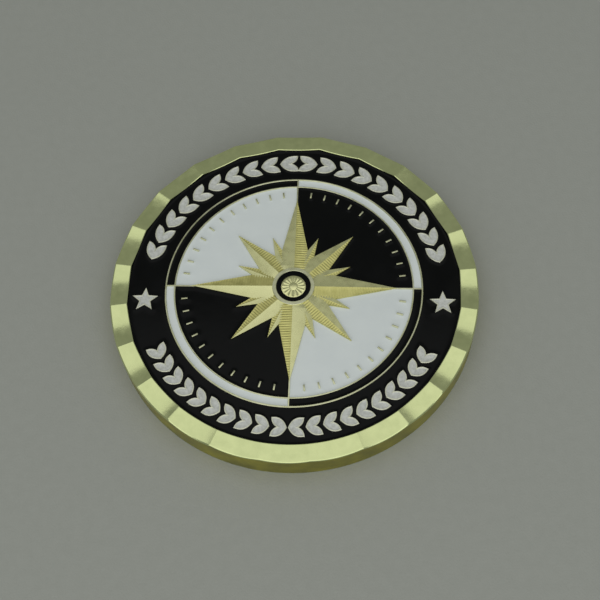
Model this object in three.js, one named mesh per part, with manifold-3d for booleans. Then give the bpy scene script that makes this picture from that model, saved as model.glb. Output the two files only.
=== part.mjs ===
// Challenge coin: one struck metal blank and the enamel bodies that fill its recesses.
// Millimetres. The origin is at the centre of the underside, +Z points out of the obverse
// and +Y points to the top of the design.

import * as THREE from 'three';
import { mergeVertices } from 'three/addons/utils/BufferGeometryUtils.js';
import Module from 'manifold-3d';

const wasm = await Module();
wasm.setup();
const { Manifold } = wasm;

// ---------------------------------------------------------------- driving dimensions

const RADIUS = 22.25; // 44.5 mm coin, 1 3/4 inch
const THICKNESS = 4.0;
const ROUND_SEGMENTS = 72; // sides of every full circle

// Heights above the underside.
const FLOOR = THICKNESS - 0.9; // floor of the obverse recesses
const ENAMEL_TOP = THICKNESS - 0.5; // enamel lies below the metal lines
const LINE_TOP = THICKNESS - 0.3; // top of rings, seams and ornament outlines
const LEAF_FLOOR = LINE_TOP - 0.3; // floor of the cells inside the legend ornaments
const LEAF_ENAMEL_TOP = LINE_TOP - 0.07;
const CLEARANCE = 0.02; // all round each enamel body
const CUT_THROUGH = 0.5; // how far a cutting tool passes the face it enters
const FINEST_DETAIL = 0.004; // smaller steps and slivers are smoothed away

// Cut rim: one shallow concave facet per pass of a rotating tool.
const FACETS = 24;
const FACET_TOOL_RADIUS = 13.7;
const FACET_TOOL_SIDES = 60;
const FACET_DEPTH = 0.29; // leaves the ridges between facets just below full thickness
const FACET_SLOPE = THREE.MathUtils.degToRad(4); // falls towards the outer edge
const EDGE_BEVEL = 0.2;

// Radii of the obverse rings.
const BAND_OUTER_FLOOR = 0.893 * RADIUS; // drafted wall of the rim, at the recess floor
const BAND_OUTER_TOP = 0.908 * RADIUS; // the same wall at full thickness
const BAND_INNER = 0.702 * RADIUS;
const RING_OUTER = 0.693 * RADIUS;
const RING_INNER = 0.652 * RADIUS;
const FIELD_RADIUS = 0.645 * RADIUS;
const SEAM_HALF_WIDTH = 0.004 * RADIUS;
const SEAM_REACH = (RING_OUTER + BAND_INNER) / 2; // a seam ends inside the line around the ring

// Legend ornaments: pairs of laurel leaves, and two stars.
const LEGEND_RADIUS = 0.81 * RADIUS;
const LEAF_HEIGHT = 0.105 * RADIUS; // both leaves of a pair, outlines included
const ORNAMENT_OUTLINE = 0.15;
const PAIRS_PER_SPRAY = 10;
const TOP_ARC = THREE.MathUtils.degToRad(157);
const BOTTOM_ARC = THREE.MathUtils.degToRad(127);
const STAR_RADIUS = 0.073 * RADIUS;
const STAR_POINTS = 5;
const STAR_WAIST = 0.4; // inner corners, as a share of the points' radius
const STARS = { left: THREE.MathUtils.degToRad(186.2), right: THREE.MathUtils.degToRad(354) };

// Reverse.
const REVERSE_FLOOR = 0.45;
const REVERSE_RELIEF = 0.15; // tops of the ornaments, above the resting plane
const REVERSE_RIM = 0.89 * RADIUS;
const REVERSE_RING = [0.66 * RADIUS, 0.68 * RADIUS];
const MEDALLION = [0.44 * RADIUS, 0.47 * RADIUS];
const REVERSE_PAIRS = 14; // on each side
const REVERSE_ARC = THREE.MathUtils.degToRad(164);
const REVERSE_WREATH_RADIUS = 0.78 * RADIUS;
const REVERSE_PAIR = [0.94, 1.15]; // length and height of a leaf pair, as shares of the pitch

// ---------------------------------------------------------------- materials

const goldPlate = new THREE.MeshStandardMaterial({ color: 0xb8a95a, roughness: 0.28, metalness: 1 });
const blackEnamel = new THREE.MeshStandardMaterial({ color: 0x101112, roughness: 0.12, metalness: 0 });
const whiteEnamel = new THREE.MeshStandardMaterial({ color: 0xd9dedb, roughness: 0.15, metalness: 0 });

// ---------------------------------------------------------------- solids

function solid(geometry) {
  geometry.deleteAttribute('normal');
  geometry.deleteAttribute('uv');
  const merged = mergeVertices(geometry, 1e-5);
  const vertProperties = new Float32Array(merged.attributes.position.array);
  const triVerts = new Uint32Array(merged.index.array);
  return new Manifold(new wasm.Mesh({ numProp: 3, vertProperties, triVerts }));
}

function prism(outline, bottom, top) {
  const geometry = new THREE.ExtrudeGeometry(new THREE.Shape(outline), {
    depth: top - bottom,
    bevelEnabled: false,
  });
  return solid(geometry.translate(0, 0, bottom));
}

// A turned body. The profile is a list of [radius, height] that starts and ends on the axis
// or closes on itself.
function turned(profile) {
  const points = profile.map(([radius, height]) => new THREE.Vector2(radius, height));
  return solid(new THREE.LatheGeometry(points, ROUND_SEGMENTS).rotateX(Math.PI / 2));
}

function turnedRing(inner, outerBottom, outerTop, bottom, top) {
  return turned([
    [inner, bottom],
    [outerBottom, bottom],
    [outerTop, top],
    [inner, top],
    [inner, bottom],
  ]);
}

function turnedDisc(radius, bottom, top) {
  return turned([
    [0, bottom],
    [radius, bottom],
    [radius, top],
    [0, top],
  ]);
}

function bufferGeometry(manifold) {
  const mesh = manifold.simplify(FINEST_DETAIL).getMesh();
  const geometry = new THREE.BufferGeometry();
  geometry.setAttribute('position', new THREE.BufferAttribute(mesh.vertProperties, 3));
  geometry.setIndex(new THREE.BufferAttribute(mesh.triVerts, 1));
  geometry.computeVertexNormals();
  return geometry;
}

// ---------------------------------------------------------------- outlines

// A point given in parts of the coin's radius.
function at(x, y) {
  return new THREE.Vector2(x * RADIUS, y * RADIUS);
}

// An anticlockwise outline moved outwards by a distance, with its sharp corners blunted.
function offsetOutline(outline, distance) {
  const count = outline.length;
  return outline.map((point, index) => {
    const before = outline[(index + count - 1) % count];
    const after = outline[(index + 1) % count];
    const edgeIn = point.clone().sub(before).normalize();
    const edgeOut = after.clone().sub(point).normalize();
    const normal = new THREE.Vector2(edgeIn.y + edgeOut.y, -edgeIn.x - edgeOut.x).normalize();
    const mitre = 1 / Math.max(normal.x * edgeIn.y - normal.y * edgeIn.x, 0.5);
    return point.clone().addScaledVector(normal, distance * mitre);
  });
}

// An outline drawn about the origin, spun and put on a circle about the coin's centre.
function onCircle(outline, radius, angle, spin) {
  const centre = new THREE.Vector2(radius * Math.cos(angle), radius * Math.sin(angle));
  const origin = new THREE.Vector2();
  return outline.map((point) => point.clone().rotateAround(origin, spin).add(centre));
}

// Quarter of a ring, or of a disc when inner is 0, kept clear of the two seams beside it.
function quarterOutline(inner, outer, seam, quarter) {
  const turn = (quarter * Math.PI) / 2;
  const segments = ROUND_SEGMENTS / 4;
  const arc = (radius) => {
    const start = Math.asin(seam / radius);
    return Array.from({ length: segments + 1 }, (_, step) => {
      const angle = turn + start + ((Math.PI / 2 - 2 * start) * step) / segments;
      return new THREE.Vector2(radius * Math.cos(angle), radius * Math.sin(angle));
    });
  };
  if (inner > 0) return [...arc(outer), ...arc(inner).reverse()];
  return [...arc(outer), new THREE.Vector2(seam, seam).rotateAround(new THREE.Vector2(), turn)];
}

function starOutline(radius) {
  const innerRadius = radius * STAR_WAIST;
  return Array.from({ length: 2 * STAR_POINTS }, (_, index) => {
    const angle = Math.PI / 2 + (index * Math.PI) / STAR_POINTS;
    const reach = index % 2 === 0 ? radius : innerRadius;
    return new THREE.Vector2(reach * Math.cos(angle), reach * Math.sin(angle));
  });
}

// Two leaves that grow along +X from one node, one to each side.
function leafPairOutline(length, height) {
  const tip = height / 2;
  const crotch = 0.42 * length; // where the two leaves part
  const belly = { x: 0.3 * length, y: 1.15 * tip }; // pulls the outer edge of a leaf outwards
  const hollow = { x: 0.95 * length, y: 0.25 * tip }; // and its inner edge inwards
  const shape = new THREE.Shape();
  shape.moveTo(0, 0);
  shape.quadraticCurveTo(belly.x, -belly.y, length, -tip);
  shape.quadraticCurveTo(hollow.x, -hollow.y, crotch, 0);
  shape.quadraticCurveTo(hollow.x, hollow.y, length, tip);
  shape.quadraticCurveTo(belly.x, belly.y, 0, 0);
  const divisionsPerSide = 2;
  const points = shape.getPoints(divisionsPerSide).slice(0, -1);
  return points.map((point) => point.setX(point.x - length / 2));
}

function barOutline(from, to, width) {
  const side = new THREE.Vector2(to.y - from.y, from.x - to.x).setLength(width / 2);
  return [from.clone().add(side), to.clone().add(side), to.clone().sub(side), from.clone().sub(side)];
}

// ---------------------------------------------------------------- compass rose in relief

// Each set of rays is spread evenly round the hub. Lengths are in parts of the coin's radius.
const RAYS = [
  { count: 8, turn: 22.5, length: 0.33, halfWidth: 0.042, widestAt: 0.15, crest: THICKNESS - 0.17 },
  { count: 4, turn: 45, length: 0.45, halfWidth: 0.075, widestAt: 0.14, crest: THICKNESS - 0.1 },
  { count: 4, turn: 0, length: 0.555, halfWidth: 0.092, widestAt: 0.13, crest: THICKNESS - 0.03 },
];
const RAY_EDGE = THICKNESS - 0.24; // the ridges fall to this height at the rays' sides and tips

const HUB_RADIUS = 0.115 * RADIUS;
const HUB_TOP = THICKNESS - 0.02;
const HUB_CELL = [0.068 * RADIUS, 0.094 * RADIUS]; // ring of enamel in the hub
const HUB_CELL_FLOOR = THICKNESS - 0.4;
const HUB_ENAMEL_TOP = THICKNESS - 0.1;

// Scale marks near the edge of the field.
const SCALE = [0.578, 0.613]; // inner and outer ends, in parts of the coin's radius
const SCALE_MARKS = 48;
const SCALE_WIDTH = 0.009 * RADIUS;

function rayOutline({ length, halfWidth, widestAt }) {
  return [at(0, 0), at(widestAt, -halfWidth), at(length, 0), at(widestAt, halfWidth)];
}

// A ray along +X, with a ridge from the middle of the hub to the tip. The corners of its four-sided
// foot are numbered 0 to 3, and the corners above them 4 to 7.
function rayBody(ray) {
  const foot = FLOOR - CUT_THROUGH;
  const outline = rayOutline(ray);
  const lower = outline.flatMap(({ x, y }) => [x, y, foot]);
  const upper = outline.flatMap(({ x, y }, corner) => [x, y, corner === 0 ? ray.crest : RAY_EDGE]);
  const count = outline.length;
  const sides = outline.flatMap((_, corner) => {
    const next = (corner + 1) % count;
    return [corner, next, next + count, corner, next + count, corner + count];
  });
  const geometry = new THREE.BufferGeometry();
  geometry.setAttribute('position', new THREE.Float32BufferAttribute([...lower, ...upper], 3));
  geometry.setIndex([0, 2, 1, 0, 3, 2, 4, 5, 6, 4, 6, 7, ...sides]);
  return geometry;
}

function rayAngles({ count, turn }) {
  return Array.from({ length: count }, (_, index) => THREE.MathUtils.degToRad(turn + (index * 360) / count));
}

function roseRelief() {
  const rays = RAYS.flatMap((ray) => rayAngles(ray).map((angle) => solid(rayBody(ray).rotateZ(angle))));
  const hub = turnedDisc(HUB_RADIUS, FLOOR - CUT_THROUGH, HUB_TOP);
  return Manifold.union([...rays, hub, ...scaleMarks().map((outline) => raised(outline, LINE_TOP))]);
}

// The seams stand in for the marks that would lie on them.
function scaleMarks() {
  const perQuarter = SCALE_MARKS / 4;
  return Array.from({ length: SCALE_MARKS }, (_, index) => index)
    .filter((index) => index % perQuarter !== 0)
    .map((index) => {
      const along = at(1, 0).rotateAround(new THREE.Vector2(), (index * 2 * Math.PI) / SCALE_MARKS);
      const [from, to] = SCALE.map((reach) => along.clone().multiplyScalar(reach));
      return barOutline(from, to, SCALE_WIDTH);
    });
}

// What the enamel of the field goes round.
function roseFootprint(margin) {
  const origin = new THREE.Vector2();
  const rays = RAYS.flatMap((ray) => {
    const outline = offsetOutline(rayOutline(ray), margin);
    return rayAngles(ray).map((angle) => outline.map((point) => point.clone().rotateAround(origin, angle)));
  });
  const marks = scaleMarks().map((outline) => offsetOutline(outline, margin));
  const walls = [...rays, ...marks].map((outline) => prism(outline, 0, THICKNESS));
  return Manifold.union([...walls, turnedDisc(HUB_RADIUS + margin, 0, THICKNESS)]);
}

// ---------------------------------------------------------------- legend ornaments

function sprayAngles(centre, arc) {
  const pitch = arc / (2 * PAIRS_PER_SPRAY);
  const first = centre - arc / 2 + pitch / 2;
  return Array.from({ length: 2 * PAIRS_PER_SPRAY }, (_, index) => first + index * pitch);
}

// Leaves grow towards the middle of the top arc, and away from the middle of the bottom one.
function legendLeaves(name, centre, arc, growth) {
  const pitch = (arc / (2 * PAIRS_PER_SPRAY)) * LEGEND_RADIUS;
  const cell = leafPairOutline(pitch - 3 * ORNAMENT_OUTLINE, LEAF_HEIGHT - 2 * ORNAMENT_OUTLINE);
  return sprayAngles(centre, arc).map((angle, index) => {
    const side = Math.sign(angle - centre);
    const spin = angle + (side * growth * Math.PI) / 2;
    const number = String(index + 1).padStart(2, '0');
    return { name: `${name}_${number}`, cell: onCircle(cell, LEGEND_RADIUS, angle, spin) };
  });
}

function legendOrnaments() {
  const star = starOutline(STAR_RADIUS - 2 * ORNAMENT_OUTLINE);
  const stars = Object.entries(STARS).map(([side, angle]) => ({
    name: `star_enamel_${side}`,
    cell: onCircle(star, LEGEND_RADIUS, angle, 0),
  }));
  return [
    ...legendLeaves('leaf_enamel_top', Math.PI / 2, TOP_ARC, -1),
    ...legendLeaves('leaf_enamel_bottom', -Math.PI / 2, BOTTOM_ARC, 1),
    ...stars,
  ];
}

// ---------------------------------------------------------------- struck blank

function bandWall(height) {
  const share = (height - FLOOR) / (THICKNESS - FLOOR);
  return THREE.MathUtils.lerp(BAND_OUTER_FLOOR, BAND_OUTER_TOP, share);
}

// The tool's lowest line runs outwards and slightly down, from the rim's inner edge.
function facetTool(angle) {
  const reach = RADIUS - BAND_OUTER_TOP;
  const length = 3 * reach;
  const tool = new THREE.CylinderGeometry(FACET_TOOL_RADIUS, FACET_TOOL_RADIUS, length, FACET_TOOL_SIDES);
  tool.rotateY(Math.PI / FACET_TOOL_SIDES);
  tool.rotateZ(-Math.PI / 2);
  tool.translate(reach / 2, 0, FACET_TOOL_RADIUS);
  tool.rotateY(FACET_SLOPE);
  tool.translate(BAND_OUTER_TOP, 0, THICKNESS - FACET_DEPTH);
  return solid(tool.rotateZ(angle));
}

function cutDisc() {
  const disc = turned([
    [0, 0],
    [RADIUS - EDGE_BEVEL, 0],
    [RADIUS, EDGE_BEVEL],
    [RADIUS, THICKNESS],
    [0, THICKNESS],
  ]);
  const brim = THICKNESS + CUT_THROUGH;
  const obverse = turned([[0, FLOOR], [BAND_OUTER_FLOOR, FLOOR], [bandWall(brim), brim], [0, brim]]);
  const reverse = turnedDisc(REVERSE_RIM, -CUT_THROUGH, REVERSE_FLOOR);
  const facets = Array.from({ length: FACETS }, (_, index) => facetTool((index * 2 * Math.PI) / FACETS));
  return disc.subtract(obverse).subtract(reverse).subtract(Manifold.union(facets));
}

// Everything added to the dish starts a little below its floor.
function raised(outline, top) {
  return prism(outline, FLOOR - CUT_THROUGH, top);
}

function ringsAndSeams() {
  const foot = FLOOR - CUT_THROUGH;
  const right = new THREE.Vector2(SEAM_REACH, 0);
  const up = new THREE.Vector2(0, SEAM_REACH);
  return Manifold.union([
    turnedRing(RING_OUTER, BAND_INNER, BAND_INNER, foot, LINE_TOP),
    turnedRing(FIELD_RADIUS, RING_INNER, RING_INNER, foot, LINE_TOP),
    raised(barOutline(right.clone().negate(), right, 2 * SEAM_HALF_WIDTH), LINE_TOP),
    raised(barOutline(up.clone().negate(), up, 2 * SEAM_HALF_WIDTH), LINE_TOP),
  ]);
}

function hubCell(margin, bottom, top) {
  const outer = HUB_CELL[1] - margin;
  return turnedRing(HUB_CELL[0] + margin, outer, outer, bottom, top);
}

function reverseRelief() {
  const ceiling = REVERSE_FLOOR + CUT_THROUGH;
  const pitch = (REVERSE_ARC * REVERSE_WREATH_RADIUS) / REVERSE_PAIRS;
  const pair = leafPairOutline(REVERSE_PAIR[0] * pitch, REVERSE_PAIR[1] * pitch);
  const leaves = [];
  for (const side of [-1, 1]) {
    for (let index = 0; index < REVERSE_PAIRS; index += 1) {
      const grown = (Math.PI - REVERSE_ARC) / 2 + ((index + 0.5) * REVERSE_ARC) / REVERSE_PAIRS;
      const angle = -Math.PI / 2 + side * grown;
      const spin = angle + (side * Math.PI) / 2;
      leaves.push(prism(onCircle(pair, REVERSE_WREATH_RADIUS, angle, spin), REVERSE_RELIEF, ceiling));
    }
  }
  return Manifold.union([
    turnedRing(REVERSE_RING[0], REVERSE_RING[1], REVERSE_RING[1], REVERSE_RELIEF, ceiling),
    turnedRing(MEDALLION[0], MEDALLION[1], MEDALLION[1], REVERSE_RELIEF, ceiling),
    ...leaves,
  ]);
}

function struckBlank(ornaments) {
  const islands = ornaments.map(({ cell }) => raised(offsetOutline(cell, ORNAMENT_OUTLINE), LINE_TOP));
  const cells = ornaments.map(({ cell }) => prism(cell, LEAF_FLOOR, THICKNESS));
  return Manifold.union([cutDisc(), ringsAndSeams(), roseRelief(), ...islands, reverseRelief()])
    .subtract(Manifold.union([...cells, hubCell(0, HUB_CELL_FLOOR, THICKNESS)]));
}

// ---------------------------------------------------------------- enamel bodies

function legendEnamel(ornaments) {
  const outer = (height) => bandWall(height) - CLEARANCE;
  const band = turnedRing(BAND_INNER + CLEARANCE, outer(FLOOR), outer(ENAMEL_TOP), FLOOR, ENAMEL_TOP);
  const islands = ornaments.map(({ cell }) =>
    prism(offsetOutline(cell, ORNAMENT_OUTLINE + CLEARANCE), 0, THICKNESS));
  return band.subtract(Manifold.union(islands));
}

function ringEnamel(quarter) {
  const outline = quarterOutline(
    RING_INNER + CLEARANCE, RING_OUTER - CLEARANCE, SEAM_HALF_WIDTH + CLEARANCE, quarter,
  );
  return prism(outline, FLOOR, ENAMEL_TOP);
}

function fieldEnamel(quarter) {
  const outline = quarterOutline(0, FIELD_RADIUS - CLEARANCE, SEAM_HALF_WIDTH + CLEARANCE, quarter);
  return prism(outline, FLOOR, ENAMEL_TOP).subtract(roseFootprint(CLEARANCE));
}

// ---------------------------------------------------------------- assembly

const coin = new THREE.Group();

function addPart(name, manifold, material) {
  const mesh = new THREE.Mesh(bufferGeometry(manifold), material.clone());
  mesh.name = name;
  coin.add(mesh);
}

const QUARTERS = [
  { name: 'ne', ring: whiteEnamel, field: blackEnamel },
  { name: 'nw', ring: blackEnamel, field: whiteEnamel },
  { name: 'sw', ring: whiteEnamel, field: blackEnamel },
  { name: 'se', ring: blackEnamel, field: whiteEnamel },
];

const ornaments = legendOrnaments();

addPart('struck_blank', struckBlank(ornaments), goldPlate);
addPart('legend_enamel', legendEnamel(ornaments), blackEnamel);
QUARTERS.forEach(({ name, ring, field }, quarter) => {
  addPart(`ring_enamel_${name}`, ringEnamel(quarter), ring);
  addPart(`field_enamel_${name}`, fieldEnamel(quarter), field);
});
ornaments.forEach(({ name, cell }) => {
  addPart(name, prism(offsetOutline(cell, -CLEARANCE), LEAF_FLOOR, LEAF_ENAMEL_TOP), whiteEnamel);
});
addPart('hub_enamel', hubCell(CLEARANCE, HUB_CELL_FLOOR, HUB_ENAMEL_TOP), blackEnamel);

export default coin;
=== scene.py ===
"""Looks of a challenge coin: struck gold-plated metal with black, white and cream enamel.

Places across the coin are in parts of its radius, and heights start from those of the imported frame.
Small bevels, gaps and grains are in millimetres.
"""

import math

import bmesh
import bpy
import numpy as np
from mathutils import Matrix, Vector


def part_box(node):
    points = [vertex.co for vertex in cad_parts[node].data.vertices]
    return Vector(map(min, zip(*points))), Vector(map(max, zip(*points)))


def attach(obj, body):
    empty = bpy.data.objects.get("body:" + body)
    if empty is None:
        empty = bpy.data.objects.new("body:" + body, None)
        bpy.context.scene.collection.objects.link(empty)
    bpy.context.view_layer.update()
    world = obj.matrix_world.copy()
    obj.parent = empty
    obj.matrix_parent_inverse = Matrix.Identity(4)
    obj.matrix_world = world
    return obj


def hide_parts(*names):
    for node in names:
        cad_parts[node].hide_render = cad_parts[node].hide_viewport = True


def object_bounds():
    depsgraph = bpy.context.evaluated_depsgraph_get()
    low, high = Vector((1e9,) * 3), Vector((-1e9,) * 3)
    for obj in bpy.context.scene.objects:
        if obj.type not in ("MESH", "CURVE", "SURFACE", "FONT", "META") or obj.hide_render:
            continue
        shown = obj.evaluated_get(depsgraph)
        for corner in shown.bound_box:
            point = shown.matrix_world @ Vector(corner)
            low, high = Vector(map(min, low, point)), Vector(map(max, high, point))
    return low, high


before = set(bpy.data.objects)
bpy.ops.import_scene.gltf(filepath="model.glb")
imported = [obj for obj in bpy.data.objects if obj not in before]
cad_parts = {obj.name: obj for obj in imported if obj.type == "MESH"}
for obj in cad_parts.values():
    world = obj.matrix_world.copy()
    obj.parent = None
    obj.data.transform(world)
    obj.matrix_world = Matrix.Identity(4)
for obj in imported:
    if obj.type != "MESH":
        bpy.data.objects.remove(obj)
CAD_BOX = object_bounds()

MM = 0.001
SEED = 7

# ---------------------------------------------------------------- sizes, from the frame

CENTRE = (CAD_BOX[0] + CAD_BOX[1]) / 2
R = (CAD_BOX[1].x - CAD_BOX[0].x) / 2
TOP = CAD_BOX[1].z
UNDERSIDE = CAD_BOX[0].z
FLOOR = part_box("legend_enamel")[0].z
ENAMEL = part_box("legend_enamel")[1].z
LEAF_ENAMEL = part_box("leaf_enamel_top_01")[1].z
LEAF_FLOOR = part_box("leaf_enamel_top_01")[0].z
LINE = LEAF_ENAMEL + 0.07 * MM  # tops of rings, seams and ornament outlines

WALL_GAP = 0.02 * MM  # the frame's enamel bodies stop this far from the metal
RING_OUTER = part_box("ring_enamel_ne")[1].x + WALL_GAP
FIELD_RADIUS = -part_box("field_enamel_sw")[0].x + WALL_GAP
SEAM_HALF = -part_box("field_enamel_sw")[1].x - WALL_GAP
HUB_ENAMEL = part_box("hub_enamel")[1].z
HUB_CELL_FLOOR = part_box("hub_enamel")[0].z
HUB_CELL_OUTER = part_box("hub_enamel")[1].x + WALL_GAP
SEAM_START = 0.05 * R  # under the hub
SEAM_TOP = LINE - 0.01 * MM
SEAM_BEVEL = 0.04 * MM
RING_BEVEL = 0.05 * MM  # of the line outside the ring
RING_LINE = 0.0075 * R  # width of the line inside the ring
BAND_LINE = 0.009 * R  # width of the line outside it
RING_INNER = FIELD_RADIUS + RING_LINE
BAND_INNER = RING_OUTER + BAND_LINE
SEAM_END = RING_OUTER + 0.4 * BAND_LINE
BAND_WALL_FLOOR = 0.893 * R  # the black band's outer wall leans from this radius
BAND_WALL_TOP = 0.908 * R  # to this one

FACETS = 24
FACET_TOOL_RADIUS = 13.7 * MM  # each cut is part of a cylinder
FACET_DEPTH = 0.29 * MM  # of a cut's middle at its inner end
FACET_SLOPE = math.tan(math.radians(4))  # each cut falls outwards
FACET_TILT = math.radians(0.9)  # the furthest that one cut leans to its side
FACET_LEANS = np.tan(np.random.default_rng(SEED).uniform(-FACET_TILT, FACET_TILT, FACETS))
LIP_EDGE = 0.05 * MM  # chamfer between the cut rim and the wall of the black band
RIM_CHAMFER = 0.15 * MM  # between the cut rim and the outer wall
RIM_SHOULDER = 0.35 * RIM_CHAMFER  # how far its rounded middle lies below the cut
FOOT_BEVEL = 0.2 * MM  # between the outer wall and the underside
BODY_STEPS = 30 * FACETS
BAND_STEPS = 60 * FACETS
FIELD_MIDDLE = 0.3 * R  # the flat fields are closed by one face inside this radius

LEGEND_RADIUS = 0.81 * R
LEAF_HEIGHT = 0.105 * R
OUTLINE = 0.15 * MM  # width of the raised line round a leaf or star
PAIRS_PER_SPRAY = 10
TOP_ARC = math.radians(157)
BOTTOM_ARC = math.radians(127)
STAR_ANGLES = (math.radians(186.2), math.radians(354.0))
STAR_RADIUS = 0.073 * R
STAR_POINTS = 5
STAR_WAIST = 0.4
ORNAMENT_BEVEL = 0.04 * MM

REVERSE_FLOOR = UNDERSIDE + 0.45 * MM
REVERSE_RELIEF = UNDERSIDE + 0.15 * MM
REVERSE_RIM = 0.89 * R
REVERSE_EDGE = 0.08 * MM  # bevel of the rim's inner edge
REVERSE_DRAFT = 0.1 * MM  # how far the wall below it leans inwards

# ---------------------------------------------------------------- materials

NOISE_DETAIL = 3.0
NOISE_MIDDLE = (0.3, 0.7)  # nearly all of a noise's values lie between these
RELIEF_MOTTLE = 0.3  # how much the mottle counts beside the height in the painted shade
PAINTED_SHADE_HEIGHTS = (ENAMEL, TOP - 0.1 * MM)  # painted shade: relief gold is dark at the first height and bright from the second


def node_tree(name):
    """A new material, its nodes and its shader."""
    material = bpy.data.materials.new(name)
    material.use_nodes = True
    tree = material.node_tree
    return material, tree, tree.nodes["Principled BSDF"]


def noise(tree, coordinates, grain):
    """Procedural noise whose grains measure about grain metres."""
    node = tree.nodes.new("ShaderNodeTexNoise")
    node.inputs["Scale"].default_value = 1 / grain
    node.inputs["Detail"].default_value = NOISE_DETAIL
    tree.links.new(coordinates, node.inputs["Vector"])
    return node.outputs["Fac"]


def remap(tree, value, to, source=NOISE_MIDDLE):
    """The value, moved from the source range to another."""
    node = tree.nodes.new("ShaderNodeMapRange")
    for socket, number in zip(("From Min", "From Max", "To Min", "To Max"), (*source, *to)):
        node.inputs[socket].default_value = number
    tree.links.new(value, node.inputs["Value"])
    return node.outputs["Result"]


def blend_colours(tree, share, first, second):
    node = tree.nodes.new("ShaderNodeMix")
    node.data_type = "RGBA"
    tree.links.new(share, node.inputs["Factor"])
    node.inputs["A"].default_value = (*first, 1)
    node.inputs["B"].default_value = (*second, 1)
    return node.outputs["Result"]


def surface(name, dark, bright, roughness, metallic, grain, grain_depth, mottle, relief_painted_shade=False, specular=0.5):
    """A material with mottled colour and roughness and a fine grain.

    When asked, the colour also darkens towards the recess floor: painted shade in the hollows of the relief.
    """
    material, tree, shader = node_tree(name)
    coordinates = tree.nodes.new("ShaderNodeTexCoord").outputs["Object"]
    cloud = noise(tree, coordinates, mottle)
    share = remap(tree, cloud, (0, 1))
    # Painted shade: the colour darkens with the height, dark at the enamel and bright near the top.
    if relief_painted_shade:
        split = tree.nodes.new("ShaderNodeSeparateXYZ")
        tree.links.new(coordinates, split.inputs["Vector"])
        height = remap(tree, split.outputs["Z"], (0, 1), PAINTED_SHADE_HEIGHTS)
        mixed = tree.nodes.new("ShaderNodeMath")
        mixed.operation = "MULTIPLY_ADD"
        tree.links.new(share, mixed.inputs[0])
        mixed.inputs[1].default_value = RELIEF_MOTTLE
        tree.links.new(height, mixed.inputs[2])
        mixed.use_clamp = True
        share = mixed.outputs["Value"]
    tree.links.new(blend_colours(tree, share, dark, bright), shader.inputs["Base Color"])
    tree.links.new(remap(tree, cloud, roughness), shader.inputs["Roughness"])
    shader.inputs["Metallic"].default_value = metallic
    shader.inputs["Specular IOR Level"].default_value = specular
    bump = tree.nodes.new("ShaderNodeBump")
    bump.inputs["Distance"].default_value = grain_depth
    tree.links.new(noise(tree, coordinates, grain), bump.inputs["Height"])
    tree.links.new(bump.outputs["Normal"], shader.inputs["Normal"])
    return material


MATERIALS = {
    "cut": surface(
        "gold_cut", dark=(0.68, 0.745, 0.37), bright=(0.77, 0.835, 0.42), roughness=(0.12, 0.2),
        metallic=1, grain=0.3 * MM, grain_depth=0.003 * MM, mottle=1.1 * MM,
    ),
    # Painted shade: the outer wall's gold is a darker copy of the cut gold, for the shade on the upright
    # wall.
    "wall": surface(
        "gold_wall_painted_shade", dark=(0.35, 0.325, 0.06), bright=(0.61, 0.56, 0.105), roughness=(0.3, 0.4),
        metallic=1, grain=0.12 * MM, grain_depth=0.003 * MM, mottle=2.5 * MM,
    ),
    # Gold of the raised relief, with painted shade towards the recess floor.
    "relief_painted_shade": surface(
        "gold_relief_painted_shade", dark=(0.42, 0.41, 0.18), bright=(0.86, 0.86, 0.45), roughness=(0.24, 0.32),
        metallic=1, grain=0.1 * MM, grain_depth=0.002 * MM, mottle=0.9 * MM, relief_painted_shade=True,
    ),
    "stippled": surface(
        "gold_stippled", dark=(0.66, 0.69, 0.34), bright=(0.82, 0.85, 0.44), roughness=(0.42, 0.5),
        metallic=1, grain=0.07 * MM, grain_depth=0.009 * MM, mottle=0.8 * MM,
    ),
    "ribbed": surface(
        "gold_ribbed", dark=(0.64, 0.61, 0.22), bright=(0.80, 0.76, 0.30), roughness=(0.34, 0.42),
        metallic=1, grain=0.1 * MM, grain_depth=0.003 * MM, mottle=0.8 * MM,
    ),
    "line": surface(
        "gold_line", dark=(0.62, 0.63, 0.38), bright=(0.80, 0.81, 0.56), roughness=(0.26, 0.34),
        metallic=1, grain=0.1 * MM, grain_depth=0.002 * MM, mottle=1 * MM,
    ),
    "outline": surface(
        "gold_outline", dark=(0.76, 0.77, 0.60), bright=(0.88, 0.89, 0.72), roughness=(0.3, 0.4),
        metallic=0.6, grain=0.08 * MM, grain_depth=0.003 * MM, mottle=0.5 * MM,
    ),
    "black": surface(
        "enamel_black", dark=(0.0030, 0.0034, 0.0033), bright=(0.0042, 0.0047, 0.0046), roughness=(0.1, 0.16),
        metallic=0, grain=0.9 * MM, grain_depth=0.003 * MM, mottle=3 * MM, specular=0.1,
    ),
    "white": surface(
        "enamel_white", dark=(0.80, 0.86, 0.85), bright=(0.84, 0.90, 0.885), roughness=(0.16, 0.24),
        metallic=0, grain=0.9 * MM, grain_depth=0.003 * MM, mottle=3 * MM, specular=0.35,
    ),
    "cream": surface(
        "enamel_cream", dark=(0.55, 0.57, 0.525), bright=(0.76, 0.78, 0.735), roughness=(0.34, 0.48),
        metallic=0, grain=0.12 * MM, grain_depth=0.008 * MM, mottle=0.35 * MM, specular=0.4,
    ),
}

# ---------------------------------------------------------------- making meshes


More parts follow.
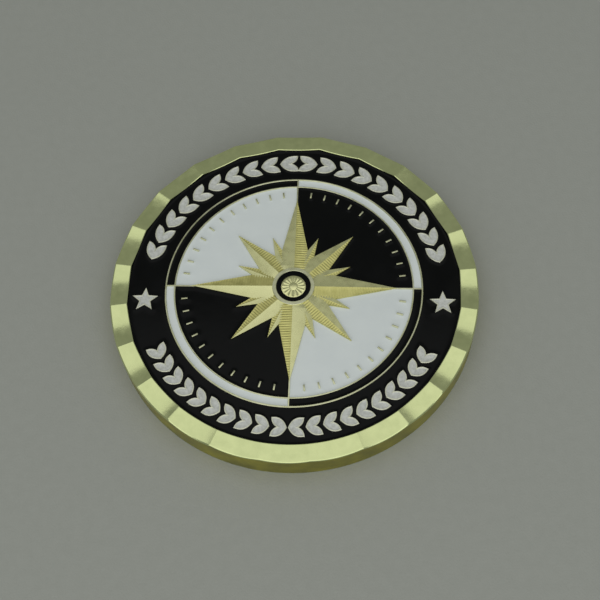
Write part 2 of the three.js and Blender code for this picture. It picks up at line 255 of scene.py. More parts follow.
class Clay:
    """Vertices and faces of one piece, gathered body by body."""

    def __init__(self):
        self.vertices = []
        self.faces = []

    def join(self, low, high, count):
        """A belt of faces between two loops of points, given by the numbers of their first points."""
        for index in range(count):
            after = (index + 1) % count
            self.faces.append((low + index, low + after, high + after, high + index))

    def add_belts(self, loops):
        """Stacked closed loops of points, all with the same number of points, joined one to the next."""
        count = len(loops[0])
        starts = [len(self.vertices) + level * count for level in range(len(loops))]
        for loop in loops:
            self.vertices.extend(tuple(point) for point in loop)
        for low, high in zip(starts, starts[1:]):
            self.join(low, high, count)
        return starts[0], starts[-1], count

    def add_loops(self, loops):
        """A solid through stacked loops, closed by a face at each end."""
        first, last, count = self.add_belts(loops)
        self.faces.append(tuple(first + index for index in reversed(range(count))))
        self.faces.append(tuple(last + index for index in range(count)))

    def add_ring(self, loops):
        """A ring-shaped solid: the last loop joins the first."""
        first, last, count = self.add_belts(loops)
        self.join(last, first, count)

    def add_grid(self, points, foot):
        """A solid under a grid of surface points, with straight sides down to the foot height."""
        rows, columns = points.shape[:2]
        start = len(self.vertices)
        self.vertices.extend(map(tuple, points.reshape(-1, 3)))
        number = start + np.arange(rows * columns).reshape(rows, columns)
        corners = np.stack([number[:-1, :-1], number[:-1, 1:], number[1:, 1:], number[1:, :-1]], axis=-1)
        self.faces.extend(map(tuple, corners.reshape(-1, 4).tolist()))
        rim = np.concatenate([number[0, :-1], number[:-1, -1], number[-1, :0:-1], number[:0:-1, 0]]).tolist()
        low = len(self.vertices)
        for index in rim:
            x, y, _ = self.vertices[index]
            self.vertices.append((x, y, foot))
        for index, upper in enumerate(rim):
            after = (index + 1) % len(rim)
            self.faces.append((rim[after], upper, low + index, low + after))
        self.faces.append(tuple(low + index for index in range(len(rim))))

    def turn_over(self, level):
        """Heights become depths below a level."""
        self.vertices = [(x, y, level - z) for x, y, z in self.vertices]

    def piece(self, name, material, slot, replaces, crease=32):
        """The finished object. Edges sharper than the crease angle, in degrees, stay sharp."""
        mesh = bpy.data.meshes.new(name)
        mesh.from_pydata(self.vertices, [], self.faces)
        mesh.validate()
        mesh.materials.append(MATERIALS[material])
        made = bpy.data.objects.new(name, mesh)
        bpy.context.scene.collection.objects.link(made)
        turn_faces_outwards(mesh)
        mesh.shade_smooth()
        mesh.set_sharp_from_angle(angle=math.radians(crease))
        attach(made, "root")
        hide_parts(*replaces)
        return made


def turn_faces_outwards(mesh):
    """Consistent outward normals on every closed body of a mesh."""
    work = bmesh.new()
    work.from_mesh(mesh)
    bmesh.ops.recalc_face_normals(work, faces=work.faces)
    work.to_mesh(mesh)
    work.free()


# ---------------------------------------------------------------- outlines and curves


def unit_circle(count):
    """Evenly spaced bearings, and the points at them on a circle of radius 1."""
    angles = np.arange(count) * 2 * math.pi / count
    return angles, np.stack([np.cos(angles), np.sin(angles)], axis=1)


def circle(radius, count=288):
    return radius * unit_circle(count)[1]


def bar(inner, outer, half_width):
    """A bar along +X."""
    return np.array([(inner, -half_width), (outer, -half_width), (outer, half_width), (inner, half_width)])


def offset(outline, distance):
    """An anticlockwise outline moved outwards, with sharp corners blunted."""
    before = outline - np.roll(outline, 1, axis=0)
    after = np.roll(outline, -1, axis=0) - outline
    before /= np.linalg.norm(before, axis=1, keepdims=True)
    after /= np.linalg.norm(after, axis=1, keepdims=True)
    normal = np.stack([before[:, 1] + after[:, 1], -before[:, 0] - after[:, 0]], axis=1)
    normal /= np.maximum(np.linalg.norm(normal, axis=1, keepdims=True), 1e-9)
    square = normal[:, 0] * before[:, 1] - normal[:, 1] * before[:, 0]
    stretch = 1 / np.maximum(square, 0.5)  # a corner moves at most twice the distance
    return outline + normal * (distance * stretch)[:, None]


def at_height(outline, height):
    return np.column_stack([outline, np.full(len(outline), height)])


def turned(outline, angle):
    """An outline or points, turned about the origin."""
    c, s = math.cos(angle), math.sin(angle)
    return outline @ np.array([[c, s], [-s, c]])


def on_circle(outline, radius, angle, spin):
    """An outline, spun about its own origin and moved to a bearing on a circle."""
    return turned(outline, spin) + radius * np.array([math.cos(angle), math.sin(angle)])


# ---------------------------------------------------------------- solid forms


ROUNDING = 0.3  # a rounded edge passes this share of its width from the corner


def add_plate(clay, outline, foot, top, bevel):
    """A flat-topped solid with a rounded upper edge."""
    clay.add_loops([
        at_height(outline, foot),
        at_height(outline, top - bevel),
        at_height(offset(outline, -ROUNDING * bevel), top - ROUNDING * bevel),
        at_height(offset(outline, -bevel), top),
    ])


def add_raised_line(clay, outer, inner, foot, top, bevel):
    """A raised strip with rounded shoulders between an outer and an inner closed outline."""
    clay.add_ring([
        at_height(outer, foot),
        at_height(outer, top - bevel),
        at_height(offset(outer, -bevel), top),
        at_height(offset(inner, bevel), top),
        at_height(inner, top - bevel),
        at_height(inner, foot),
    ])


# Sections give the height across a strip, as a share of its crest, from -1 at one side to 1 at the other.

ARCHED = np.array([-1, -0.92, -0.7, -0.4, 0, 0.4, 0.7, 0.92, 1])
BLUNT = 0.04  # a tip keeps this share of the full width


def round_section(s):
    return np.sqrt(np.clip(1 - s**2, 0, 1))


def petal_section(s, side=0.25, flank=0.45, midrib=0.3, midrib_width=0.22):
    """A petal: a sharp midrib with sides that fall away from it."""
    return side + flank * (1 - np.abs(s) ** 1.5) + midrib * np.exp(-((s / midrib_width) ** 2))


def vein_section(s, hollow=0.42, midrib_width=0.2, edge_place=0.86, edge_width=0.16):
    """A leaf: raised edges and midrib with a hollow between them."""
    edge = np.exp(-(((np.abs(s) - edge_place) / edge_width) ** 2))
    midrib = np.exp(-((s / midrib_width) ** 2))
    return hollow + (1 - hollow) * np.maximum(edge, midrib)


def add_strip(clay, spine, half_widths, foot, edge, crest, section=round_section, sides=ARCHED):
    """A solid strip along a spine. Its surface rises from the edge height to the crest height."""
    spine = np.asarray(spine, float)
    along = np.gradient(spine, axis=0)
    along /= np.maximum(np.linalg.norm(along, axis=1, keepdims=True), 1e-9)
    across = np.stack([along[:, 1], -along[:, 0]], axis=1)
    widths = np.broadcast_to(half_widths, len(spine))
    crests = np.broadcast_to(crest, len(spine))
    flat = spine[:, None, :] + across[:, None, :] * (widths[:, None] * sides[None, :])[..., None]
    heights = edge + (crests[:, None] - edge) * section(sides)[None, :]
    heights[:, 0] = heights[:, -1] = edge
    clay.add_grid(np.concatenate([flat, heights[..., None]], axis=2), foot)


def petal_widths(t, width, root=0.55, grown=0.4, tip_share=0.35):
    """Half widths of a petal at shares t of its length: narrow at the root and round at the tip."""
    grow = root + (1 - root) * np.clip(t / grown, 0, 1)
    over = np.clip((t - (1 - tip_share)) / tip_share, 0, 1)
    return width * grow * np.maximum(np.sqrt(1 - over**2), BLUNT)


def leaf_widths(t, width, lean=0.85, fullness=0.9):
    """Half widths of a leaf at shares t of its length: widest a little before the middle."""
    return width * np.maximum(np.sin(np.pi * t**lean) ** fullness, BLUNT)


def add_petal(clay, root, tip, width, foot, edge, crest, droop=0.35):
    """One petal. The droop is how far its crest has fallen at the root."""
    t = np.linspace(0, 1, 9)
    spine = root + (tip - root) * t[:, None]
    crests = crest - (crest - edge) * droop * (1 - t)
    add_strip(clay, spine, petal_widths(t, width), foot, edge, crests, petal_section)


def add_leaf(clay, base, tip, width, foot, edge, crest, bend):
    """One veined leaf. The bend is how far its middle lies to one side, as a share of its length."""
    side = np.array([tip[1] - base[1], base[0] - tip[0]]) * bend
    t = np.linspace(0, 1, 11)
    spine = base + (tip - base) * t[:, None] + side * (4 * t * (1 - t))[:, None]
    sides = np.linspace(-1, 1, 15)
    add_strip(clay, spine, leaf_widths(t, width), foot, edge, crest, vein_section, sides)


def add_dome(clay, centre, radius, foot, edge, crest, sides, levels=5):
    """A dome, left flat at its very top."""
    steepest = math.radians(80)
    loops = [at_height(centre + circle(radius, sides), foot)]
    for lift in np.linspace(0, steepest, levels):
        height = edge + (crest - edge) * math.sin(lift)
        loops.append(at_height(centre + circle(radius * math.cos(lift), sides), height))
    clay.add_loops(loops)


# ---------------------------------------------------------------- coin body


def facet_height(radius, angle):
    """Height of the cut rim: troughs that run outwards and a little down, of which the lowest shows."""
    pitch = 2 * math.pi / FACETS
    nearest = np.round(angle / pitch).astype(int)
    height = np.full(len(angle), TOP)
    for cut in (nearest - 1, nearest, nearest + 1):
        local = angle - cut * pitch
        out = radius * np.cos(local) - BAND_WALL_TOP
        side = radius * np.sin(local)
        trough = side**2 / (2 * FACET_TOOL_RADIUS) + side * FACET_LEANS[cut % FACETS]
        height = np.minimum(height, TOP - FACET_DEPTH - FACET_SLOPE * out + trough)
    return height


def wall_radius(height):
    """Radius of the black band's outer wall, which leans outwards."""
    share = (height - FLOOR) / (TOP - FLOOR)
    return BAND_WALL_FLOOR + (BAND_WALL_TOP - BAND_WALL_FLOOR) * share


def lip_height(angle):
    """Height at which the cut rim meets that wall."""
    height = facet_height(np.full(len(angle), BAND_WALL_TOP), angle)
    return facet_height(wall_radius(height), angle)


def rim_loops(angle, loop):
    """The cut rim, from its inner edge outwards, and the coin's outer wall down to the underside."""
    lip = lip_height(angle)
    inner = wall_radius(lip) + LIP_EDGE
    brink = R - RIM_CHAMFER
    edge = facet_height(np.full(len(angle), brink), angle)
    loops = [loop(wall_radius(lip - LIP_EDGE), lip - LIP_EDGE)]
    for share in np.linspace(0, 1, 8):
        radius = inner * (1 - share) + brink * share
        loops.append(loop(radius, facet_height(radius, angle)))
    loops.append(loop(R - ROUNDING * RIM_CHAMFER, edge - RIM_SHOULDER))
    for share in (0, 0.35, 0.7, 1):
        loops.append(loop(R, (edge - RIM_CHAMFER) * (1 - share) + (UNDERSIDE + FOOT_BEVEL) * share))
    loops.append(loop(R - ROUNDING * FOOT_BEVEL, UNDERSIDE + ROUNDING * FOOT_BEVEL))
    loops.append(loop(R - FOOT_BEVEL, UNDERSIDE))
    return loops


def paint_body(body):
    """The outer wall gets a darker gold, painted shade on the upright wall, and the reverse's floor a
    stippled finish of its own.
    """
    body.data.materials.append(MATERIALS["wall"])
    body.data.materials.append(MATERIALS["stippled"])
    wall, stippled = 1, 2
    steepness = 0.3  # a wall's normal rises less than this
    for face in body.data.polygons:
        centre = face.center
        radius = math.hypot(centre.x, centre.y)
        upright = abs(face.normal.z) < steepness
        if radius < REVERSE_RIM - REVERSE_DRAFT / 2 and centre.z < TOP / 2:
            face.material_index = stippled
        elif upright and radius > BAND_WALL_TOP:
            face.material_index = wall


def make_body():
    """The blank itself: cut rim, wall, reverse rim and the two recessed fields."""
    angle, unit = unit_circle(BODY_STEPS)

    def loop(radius, height):
        return np.column_stack([unit * np.reshape(radius, (-1, 1)), np.broadcast_to(height, BODY_STEPS)])

    clay = Clay()
    clay.add_loops([
        loop(FIELD_MIDDLE, FLOOR),
        loop(BAND_WALL_FLOOR, FLOOR),
        *rim_loops(angle, loop),
        loop(REVERSE_RIM + REVERSE_EDGE, UNDERSIDE),
        loop(REVERSE_RIM, UNDERSIDE + REVERSE_EDGE),
        loop(REVERSE_RIM - REVERSE_DRAFT, REVERSE_FLOOR),
        loop(FIELD_MIDDLE, REVERSE_FLOOR),
    ])
    paint_body(clay.piece("coin_body", "cut", "gold_plate", ["struck_blank"], crease=20))


# ---------------------------------------------------------------- rings and seams


def make_lines():
    """The two round lines beside the ring, and the four seams between the quarters."""
    clay = Clay()
    add_raised_line(clay, circle(BAND_INNER), circle(RING_OUTER), FLOOR, LINE, RING_BEVEL)
    add_raised_line(clay, circle(RING_INNER), circle(FIELD_RADIUS), FLOOR, LINE, SEAM_BEVEL)
    seam = bar(SEAM_START, SEAM_END, SEAM_HALF)
    for quarter in range(4):
        add_plate(clay, turned(seam, quarter * math.pi / 2), FLOOR, SEAM_TOP, SEAM_BEVEL)
    clay.piece("ring_and_seam_lines", "line", "gold_plate", ["struck_blank"])


# ---------------------------------------------------------------- legend ornaments


def curve(start, pull, end, steps=8):
    """A quadratic curve, without its end point."""
    t = np.arange(steps)[:, None] / steps
    return (1 - t) ** 2 * start + 2 * t * (1 - t) * pull + t**2 * end


def leaf_pair(length, height):
    """Two leaves that grow along +X from one node, one to each side."""
    mirror = np.array([1, -1])
    root = np.array([0, 0])
    crotch = np.array([0.42 * length, 0])  # where the two leaves part
    tip = np.array([length, height / 2])
    belly = tip * (0.3, 1.15)  # pulls the outer edge of a leaf outwards
    hollow = tip * (0.95, 0.25)  # and its inner edge inwards
    sides = [
        curve(root, belly * mirror, tip * mirror),
        curve(tip * mirror, hollow * mirror, crotch),
        curve(crotch, hollow, tip),
        curve(tip, belly, root),
    ]
    return np.concatenate(sides) - (length / 2, 0)


def star(radius):
    """A star with its first point up. Its waist is the radius of the inner corners."""
    waist = STAR_WAIST * radius
    corners = circle(1, 2 * STAR_POINTS) * np.tile([radius, waist], STAR_POINTS)[:, None]
    return turned(corners, math.pi / 2)


def spray(centre, sweep, growth):
    """The cell outlines of one arc of leaf pairs. Growth is -1 towards the middle and 1 away from it."""
    step = sweep / (2 * PAIRS_PER_SPRAY)
    cell = leaf_pair(step * LEGEND_RADIUS - 3 * OUTLINE, LEAF_HEIGHT - 2 * OUTLINE)
    cells = []
    for index in range(2 * PAIRS_PER_SPRAY):
        angle = centre - sweep / 2 + (index + 0.5) * step
        side = 1 if angle > centre else -1
        cells.append(on_circle(cell, LEGEND_RADIUS, angle, angle + side * growth * math.pi / 2))
    return cells


# How far a fill climbs beside the metal: distance from the metal, and height above the fill's middle.
FILL_CLIMB = ((0, 0.03 * MM), (0.05 * MM, 0.008 * MM), (0.11 * MM, 0))


def add_fill(clay, cell):
    """Enamel in a cell of an ornament."""
    surfaces = [at_height(offset(cell, -inwards), LEAF_ENAMEL + lift) for inwards, lift in FILL_CLIMB]
    clay.add_loops([at_height(cell, LEAF_FLOOR), *surfaces])


def add_ornament(lines, fills, cell):
    """One cell with its raised outline. Returns the outline's outer edge, which the band's enamel meets."""
    wall = offset(cell, OUTLINE)
    add_raised_line(lines, wall, cell, FLOOR, LINE, ORNAMENT_BEVEL)
    add_fill(fills, cell)
    return wall


def make_legend():
    """Two arcs of leaf pairs and two stars. Returns the outlines that the band's enamel meets."""
    walls = []
    lines = Clay()
    for name, centre, sweep, growth in (("top", 90, TOP_ARC, -1), ("bottom", -90, BOTTOM_ARC, 1)):
        fills = Clay()
        cells = spray(math.radians(centre), sweep, growth)
        walls += [add_ornament(lines, fills, cell) for cell in cells]
        nodes = [f"leaf_enamel_{name}_{index + 1:02d}" for index in range(len(cells))]
        fills.piece(f"leaf_fills_{name}", "cream", "white_enamel", nodes)
    lines.piece("leaf_outlines", "outline", "gold_plate", ["struck_blank"])
    for side, angle in zip(("left", "right"), STAR_ANGLES):
        lines, fills = Clay(), Clay()
        cell = on_circle(star(STAR_RADIUS - 2 * OUTLINE), LEGEND_RADIUS, angle, 0)
        walls.append(add_ornament(lines, fills, cell))
        lines.piece(f"star_outline_{side}", "outline", "gold_plate", ["struck_blank"])
        fills.piece(f"star_fill_{side}", "cream", "white_enamel", [f"star_enamel_{side}"])
    return walls


# ---------------------------------------------------------------- enamel pools


def distance_to(points, outlines):
    """Distance from each point to the nearest edge of any closed outline."""
    starts = np.concatenate(outlines)
    ends = np.concatenate([np.roll(outline, -1, axis=0) for outline in outlines])
    edges = ends - starts
    squares = np.maximum((edges**2).sum(axis=1), 1e-18)
    nearest = np.empty(len(points))
    chunk = 4000  # points at a time, to save memory
    for first in range(0, len(points), chunk):
        block = points[first:first + chunk, None, :] - starts[None]
        t = np.clip((block * edges[None]).sum(axis=2) / squares, 0, 1)
        gap = block - t[..., None] * edges[None]
        nearest[first:first + chunk] = np.sqrt((gap**2).sum(axis=2).min(axis=1))
    return nearest


def bunched(count):
    """Shares from 0 to 1 that lie closer together near both ends, where the enamel bends."""
    return 0.5 - 0.5 * np.cos(np.linspace(0, math.pi, count))


CLIMB = 0.07 * MM  # how high the enamel climbs a wall
CLIMB_REACH = 0.16 * MM  # and how far from the wall that starts
FILM = 0.02 * MM  # the thin coat that it leaves on the wall of the black band
BAND_ROWS = 44
RING_GRID = (16, 180)  # rows and columns of points in one quarter
FIELD_GRID = (130, 170)


def climbed(distance):
    """Height of the enamel at a distance from the nearest metal."""
    return ENAMEL + CLIMB * np.exp(-np.maximum(distance, 0) / CLIMB_REACH)


def make_pool(name, flat, edge_distance, walls, colour):
    """A pool of enamel over a grid of flat points, higher next to the metal walls."""
    points = flat.reshape(-1, 2)
    distance = edge_distance.reshape(-1)
    if walls:
        distance = np.minimum(distance, distance_to(points, walls))
    surface_points = np.column_stack([points, climbed(distance)])
    clay = Clay()
    clay.add_grid(surface_points.reshape(*flat.shape[:2], 3), FLOOR)
    node = name.replace("pool", "enamel")
    clay.piece(name, colour, f"{colour}_enamel", [node], crease=60)


def make_band_pool(walls):
    """The black band, in one closed ring, with its thin coat up the outer wall."""
    angle, unit = unit_circle(BAND_STEPS)
    outer = wall_radius(ENAMEL + CLIMB) - FILM
    radii = BAND_INNER + (outer - BAND_INNER) * bunched(BAND_ROWS)
    loops = [at_height(unit * BAND_INNER, FLOOR)]
    for radius in radii:
        points = unit * radius
        distance = np.minimum(distance_to(points, walls), min(radius - BAND_INNER, outer - radius))
        loops.append(np.column_stack([points, climbed(distance)]))
    coat_top = lip_height(angle) - 2 * LIP_EDGE
    for radius in (wall_radius(coat_top) - FILM, wall_radius(coat_top)):
        loops.append(np.column_stack([unit * radius[:, None], coat_top]))
    loops.append(at_height(unit * BAND_WALL_FLOOR, FLOOR))
    clay = Clay()
    clay.add_ring(loops)
    clay.piece("legend_enamel_pool", "black", "black_enamel", ["legend_enamel"], crease=60)


FIELD_START = 1.5 * SEAM_HALF  # under the hub, where the four quarters of the field begin


def quarter_grid(inner, outer, quarter, rows, columns):
    """Grid points of a quarter ring between two seams, and each point's distance to its edge."""
    radii = inner + (outer - inner) * bunched(rows)
    start = np.arcsin(np.minimum(SEAM_HALF / radii, 1))
    angles = start[:, None] + (math.pi / 2 - 2 * start)[:, None] * bunched(columns)[None, :]
    flat = np.stack([radii[:, None] * np.cos(angles), radii[:, None] * np.sin(angles)], axis=-1)
    distance = np.minimum(outer - radii[:, None], np.minimum(flat[..., 0], flat[..., 1]) - SEAM_HALF)
    if inner > FIELD_START:
        distance = np.minimum(distance, radii[:, None] - inner)
    return turned(flat, quarter * math.pi / 2), distance


QUARTERS = (  # name, colour of the ring, colour of the field
    ("ne", "white", "black"),
    ("nw", "black", "white"),
    ("sw", "white", "black"),
    ("se", "black", "white"),
)


def make_field_pools(walls):
    """The enamel of the thin ring and of the field, quarter by quarter."""
    for quarter, (name, ring, field) in enumerate(QUARTERS):
        grid = quarter_grid(RING_INNER, RING_OUTER, quarter, *RING_GRID)
        make_pool(f"ring_pool_{name}", *grid, [], ring)
        grid = quarter_grid(FIELD_START, FIELD_RADIUS, quarter, *FIELD_GRID)
        make_pool(f"field_pool_{name}", *grid, walls, field)


# ---------------------------------------------------------------- compass rose

RAY_EDGE = TOP - 0.24 * MM  # height of the rays' sides and tips
RAYS = (
    # number, first bearing, length, half width, distance of the widest place, height of the ridge at the hub
    (8, 22.5, 0.33 * R, 0.042 * R, 0.15 * R, TOP - 0.17 * MM),
    (4, 45, 0.45 * R, 0.075 * R, 0.14 * R, TOP - 0.1 * MM),
    (4, 0, 0.555 * R, 0.092 * R, 0.13 * R, TOP - 0.03 * MM),
)
RIB_PITCH = 0.0145 * R
RIB_DEPTH = 0.03 * MM
ROWS_PER_RIB = 8
RAY_HOLLOW = 0.9  # below 1, a ray's sides are slightly hollow
RAY_TIP_WIDTH = 0.0012 * R

HUB_RADIUS = 0.115 * R
HUB_CELL_INNER = 0.068 * R
HUB_TOP = TOP - 0.02 * MM
HUB_SIDES = 96
HUB_BEVEL = 0.04 * MM
HUB_ENAMEL_BEVEL = 0.01 * MM
BOSS_TOP = TOP - 0.16 * MM
HUB_PETALS = 16
PETAL_EDGE = TOP - 0.17 * MM
PETAL_CREST = PETAL_EDGE + 0.1 * MM
PETAL_ROOT = 0.012 * R
PETAL_TIP = HUB_CELL_INNER - 0.004 * R
PETAL_WIDTH = 0.0125 * R
HUB_BUTTON = 0.024 * R
BUTTON_EDGE = TOP - 0.12 * MM

SCALE_INNER = 0.578 * R
SCALE_OUTER = 0.613 * R
SCALE_WIDTH = 0.009 * R
SCALE_BEVEL = 0.03 * MM
SCALE_MARKS = 48  # places, of which four are left to the seams


def ray_half_width(out, length, half_width, widest):
    """Half the width of a ray at a distance from the hub's centre."""
    growing = half_width * out / widest
    shrinking = half_width * (length - out) / (length - widest)
    return np.maximum(np.minimum(growing, shrinking), RAY_TIP_WIDTH)


def ribs(out, across):
    """How deep the ribs are cut. They fade towards the ray's ridge and its edge."""
    wave = 0.5 - 0.5 * np.cos(2 * math.pi * out / RIB_PITCH)
    fade = np.clip(4 * across, 0, 1) * np.clip(5 * (1 - across), 0, 1)
    return RIB_DEPTH * wave[:, None] * fade[None, :]


def add_half_ray(clay, bearing, side, sizes, ribbed):
    """One side of a ray, from its ridge down to its edge."""
    length, half_width, widest, crest = sizes
    start = (HUB_CELL_OUTER + HUB_RADIUS) / 2  # under the rim of the hub
    rows = int((length - start) / RIB_PITCH * ROWS_PER_RIB)
    out = np.linspace(start, length, rows)
    across = np.linspace(0, 1, 9)
    ridge = RAY_EDGE + (crest - RAY_EDGE) * (1 - out / length)
    heights = ridge[:, None] + (RAY_EDGE - ridge)[:, None] * across[None, :] ** RAY_HOLLOW
    if ribbed:
        heights = heights - ribs(out, across)
    aside = side * ray_half_width(out, length, half_width, widest)[:, None] * across[None, :]
    flat = np.stack([np.broadcast_to(out[:, None], aside.shape), aside], axis=-1)
    flat = turned(flat.reshape(-1, 2), bearing).reshape(flat.shape)
    clay.add_grid(np.concatenate([flat, heights[..., None]], axis=2), FLOOR)


def ray_outline(bearing, sizes):
    length, half_width, widest, _ = sizes
    corners = np.array([(0, 0), (widest, -half_width), (length, 0), (widest, half_width)])
    return turned(corners, bearing)


def make_rays():
    """Each ray has one polished side and one finely ribbed side. Returns the rays' outlines."""
    outlines = []
    smooth, ribbed = Clay(), Clay()
    for count, first, *sizes in RAYS:
        for index in range(count):
            bearing = math.radians(first + index * 360 / count)
            add_half_ray(smooth, bearing, 1, sizes, ribbed=False)
            add_half_ray(ribbed, bearing, -1, sizes, ribbed=True)
            outlines.append(ray_outline(bearing, sizes))
    smooth.piece("ray_sides_polished", "relief_painted_shade", "gold_plate", ["struck_blank"])
    ribbed.piece("ray_sides_ribbed", "ribbed", "gold_plate", ["struck_blank"])
    return outlines


def make_hub():
    """A ringed boss: an enamel ring round a rosette of small petals. Returns its outline."""
    outside = circle(HUB_RADIUS, HUB_SIDES)
    cell_outer = circle(HUB_CELL_OUTER, HUB_SIDES)
    cell_inner = circle(HUB_CELL_INNER, HUB_SIDES)
    rim, fill, boss = Clay(), Clay(), Clay()
    add_raised_line(rim, outside, cell_outer, FLOOR, HUB_TOP, HUB_BEVEL)
    add_raised_line(fill, cell_outer, cell_inner, HUB_CELL_FLOOR, HUB_ENAMEL, HUB_ENAMEL_BEVEL)
    add_plate(boss, cell_inner, FLOOR, BOSS_TOP, HUB_BEVEL)
    for along in unit_circle(HUB_PETALS)[1]:
        root, tip = PETAL_ROOT * along, PETAL_TIP * along
        add_petal(boss, root, tip, PETAL_WIDTH, FLOOR, PETAL_EDGE, PETAL_CREST)
    add_dome(boss, (0, 0), HUB_BUTTON, FLOOR, BUTTON_EDGE, HUB_TOP, sides=28, levels=7)
    rim.piece("hub_rim", "line", "gold_plate", ["struck_blank"])
    fill.piece("hub_fill", "black", "black_enamel", ["hub_enamel"])
    boss.piece("hub_boss", "relief_painted_shade", "gold_plate", ["struck_blank"])
    return outside


def make_scale():
    """Short bars near the edge of the field. The seams stand in for the ones that would lie on them."""
    clay = Clay()
    outlines = []
    mark = bar(SCALE_INNER, SCALE_OUTER, SCALE_WIDTH / 2)
    for index in range(SCALE_MARKS):
        if index % (SCALE_MARKS // 4) != 0:
            outline = turned(mark, 2 * math.pi * index / SCALE_MARKS)
            add_plate(clay, outline, FLOOR, LINE, SCALE_BEVEL)
            outlines.append(outline)
    clay.piece("scale_marks", "line", "gold_plate", ["struck_blank"])
    return outlines


def make_rose():
    """The compass rose. Returns the outlines that the enamel meets."""
    return [*make_rays(), make_hub(), *make_scale()]


# ---------------------------------------------------------------- reverse


WREATH_RADIUS = 0.78 * R
WREATH_PAIRS = 14  # on each side
WREATH_ARC = math.radians(164)  # on each side
WREATH_STEP = WREATH_ARC / WREATH_PAIRS
WREATH_START = (math.pi - WREATH_ARC) / 2  # from the bottom
STEM_HALF_WIDTH = 0.008 * R
LEAF_LENGTH = 0.94 * WREATH_STEP * WREATH_RADIUS
LEAF_TIP = (0.52 * LEAF_LENGTH, 0.078 * R)  # along the stem from a step's middle, and off it
LEAF_HALF_WIDTH = 0.024 * R
LEAF_BEND = 0.12
BERRY_RADIUS = 0.012 * R
STEM_CREST, BERRY_CREST, LEAF_CREST = 0.6, 0.8, 0.95  # as shares of the relief's depth
MEDALLION = ((0.4, 0.3), (0.385, 0.42), (0.2, 0.55), (0.05, 0.6))  # radii over R, heights over the depth
MEDALLION_SIDES = 96
REVERSE_SIDES = 192
REVERSE_FOOT = -0.1 * MM  # the relief starts this far inside the metal
REVERSE_BEVEL = 0.06 * MM
REVERSE_RINGS = ((0.68 * R, 0.66 * R), (0.47 * R, 0.44 * R))


def add_wreath_step(clay, angle, side, depth):
    """Two leaves from one root, and a berry between their tips."""
    along, off = LEAF_TIP
    points = np.array([(-LEAF_LENGTH / 2, 0), (LEAF_LENGTH / 2, 0), (along, -off), (along, off)])
    root, berry, *tips = on_circle(points, WREATH_RADIUS, angle, angle + side * math.pi / 2)
    for lean, tip in zip((-1, 1), tips):
        crest = LEAF_CREST * depth
        add_leaf(clay, root, tip, LEAF_HALF_WIDTH, REVERSE_FOOT, 0, crest, LEAF_BEND * lean)
    add_dome(clay, berry, BERRY_RADIUS, REVERSE_FOOT, 0, BERRY_CREST * depth, sides=14)


def add_wreath_side(clay, side, depth):
    """One side of the wreath: a stem, and its steps of leaves and berries."""
    stem_angles = -math.pi / 2 + side * np.linspace(WREATH_START, math.pi - WREATH_STEP, 60)
    stem = WREATH_RADIUS * np.stack([np.cos(stem_angles), np.sin(stem_angles)], axis=1)
    add_strip(clay, stem, STEM_HALF_WIDTH, REVERSE_FOOT, 0, STEM_CREST * depth)
    for index in range(WREATH_PAIRS):
        angle = -math.pi / 2 + side * (WREATH_START + (index + 0.5) * WREATH_STEP)
        add_wreath_step(clay, angle, side, depth)


def add_medallion(clay, depth):
    """A low stepped disc."""
    steps = [at_height(circle(radius * R, MEDALLION_SIDES), height * depth) for radius, height in MEDALLION]
    clay.add_loops([at_height(steps[0][:, :2], REVERSE_FOOT), *steps])


def make_reverse():
    """A plain medallion in a laurel wreath, on the face that the coin rests on."""
    depth = REVERSE_FLOOR - REVERSE_RELIEF
    clay = Clay()
    for outer, inner in REVERSE_RINGS:
        outside, inside = circle(outer, REVERSE_SIDES), circle(inner, REVERSE_SIDES)
        add_raised_line(clay, outside, inside, REVERSE_FOOT, depth, REVERSE_BEVEL)
    for side in (-1, 1):
        add_wreath_side(clay, side, depth)
    add_medallion(clay, depth)
    clay.turn_over(REVERSE_FLOOR)
    clay.piece("reverse_relief", "line", "gold_plate", ["struck_blank"])


# ---------------------------------------------------------------- stage


FLOOR_HALF = 1.5
LIGHT_DISTANCE = 0.4
WORLD_STRENGTH = 0.26

VIEW_AZIMUTH = 6.4  # degrees
VIEW_ELEVATION = 62.3
VIEW_ROLL = math.radians(-4.91)
VIEW_DISTANCE = 5.798 * R
VIEW_ASIDE = (0.0391 * R, -0.0868 * R)  # the point looked at, from the coin's centre
VIEW_LENS = 64.65
SENSOR_WIDTH = 36


def make_floor():
    """A plain pale floor under the coin."""
    corners = FLOOR_HALF * np.array([(-1, -1), (1, -1), (1, 1), (-1, 1)])
    mesh = bpy.data.meshes.new("floor")
    mesh.from_pydata(at_height(corners, UNDERSIDE).tolist(), [], [(0, 1, 2, 3)])
    mesh.materials.append(surface(
        "studio_floor", dark=(0.40, 0.415, 0.375), bright=(0.415, 0.43, 0.39), roughness=(0.75, 0.85),
        metallic=0, grain=0.25 * MM, grain_depth=0.03 * MM, mottle=1.2 * MM, specular=0.2,
    ))
    made = bpy.data.objects.new("floor", mesh)
    bpy.context.scene.collection.objects.link(made)


def direction(azimuth, elevation):
    """A unit vector. Azimuth 0 is the -Y side and grows towards +X. Both are in degrees."""
    a, e = math.radians(azimuth), math.radians(elevation)
    return Vector((math.sin(a) * math.cos(e), -math.cos(a) * math.cos(e), math.sin(e)))


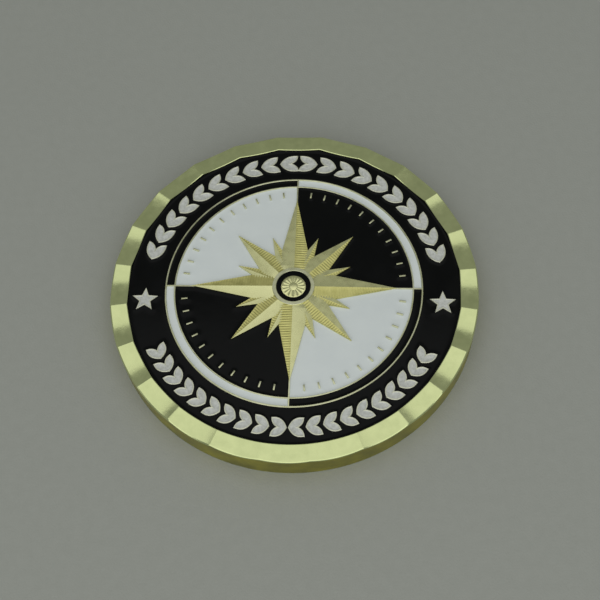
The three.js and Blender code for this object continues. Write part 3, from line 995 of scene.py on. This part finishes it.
def add_softbox(name, azimuth, elevation, width, height, radiance):
    """A rectangular soft light of even radiance that faces the coin."""
    light = bpy.data.lights.new(name, "AREA")
    light.shape = "RECTANGLE"
    light.size = width
    light.size_y = height
    light.energy = radiance * math.pi * width * height
    made = bpy.data.objects.new(name, light)
    bpy.context.scene.collection.objects.link(made)
    towards = direction(azimuth, elevation)
    made.location = CENTRE + towards * LIGHT_DISTANCE
    made.rotation_mode = "QUATERNION"
    made.rotation_quaternion = towards.to_track_quat("Z", "Y")


def make_studio():
    """A pale floor, even light from all round, and two soft lights."""
    make_floor()
    world = bpy.data.worlds.new("studio")
    bpy.context.scene.world = world
    world.use_nodes = True
    background = world.node_tree.nodes["Background"]
    background.inputs["Color"].default_value = (0.97, 1.0, 0.97, 1)
    background.inputs["Strength"].default_value = WORLD_STRENGTH
    add_softbox("softbox_above", azimuth=180, elevation=87, width=0.52, height=0.34, radiance=0.52)
    add_softbox("softbox_front", azimuth=0, elevation=40, width=0.7, height=0.46, radiance=0.7)
    bpy.context.scene.view_settings.view_transform = "Standard"


def make_camera():
    """A camera that looks back along the viewing direction, rolled a little."""
    camera = bpy.data.cameras.new("camera")
    camera.lens = VIEW_LENS
    camera.sensor_width = SENSOR_WIDTH
    camera.clip_start = 0.01
    made = bpy.data.objects.new("camera", camera)
    bpy.context.scene.collection.objects.link(made)
    back = direction(VIEW_AZIMUTH, VIEW_ELEVATION)
    level_right = Vector((0, 0, 1)).cross(back).normalized()
    level_up = back.cross(level_right)
    c, s = math.cos(VIEW_ROLL), math.sin(VIEW_ROLL)
    right = level_right * c + level_up * s
    up = level_up * c - level_right * s
    target = Vector((CENTRE.x + VIEW_ASIDE[0], CENTRE.y + VIEW_ASIDE[1], TOP))
    turn = Matrix((right, up, back)).transposed().to_4x4()
    made.matrix_world = Matrix.Translation(target + back * VIEW_DISTANCE) @ turn
    bpy.context.scene.camera = made


# ---------------------------------------------------------------- making everything

make_camera()
make_studio()
make_body()
make_lines()
make_band_pool(make_legend())
make_field_pools(make_rose())
make_reverse()
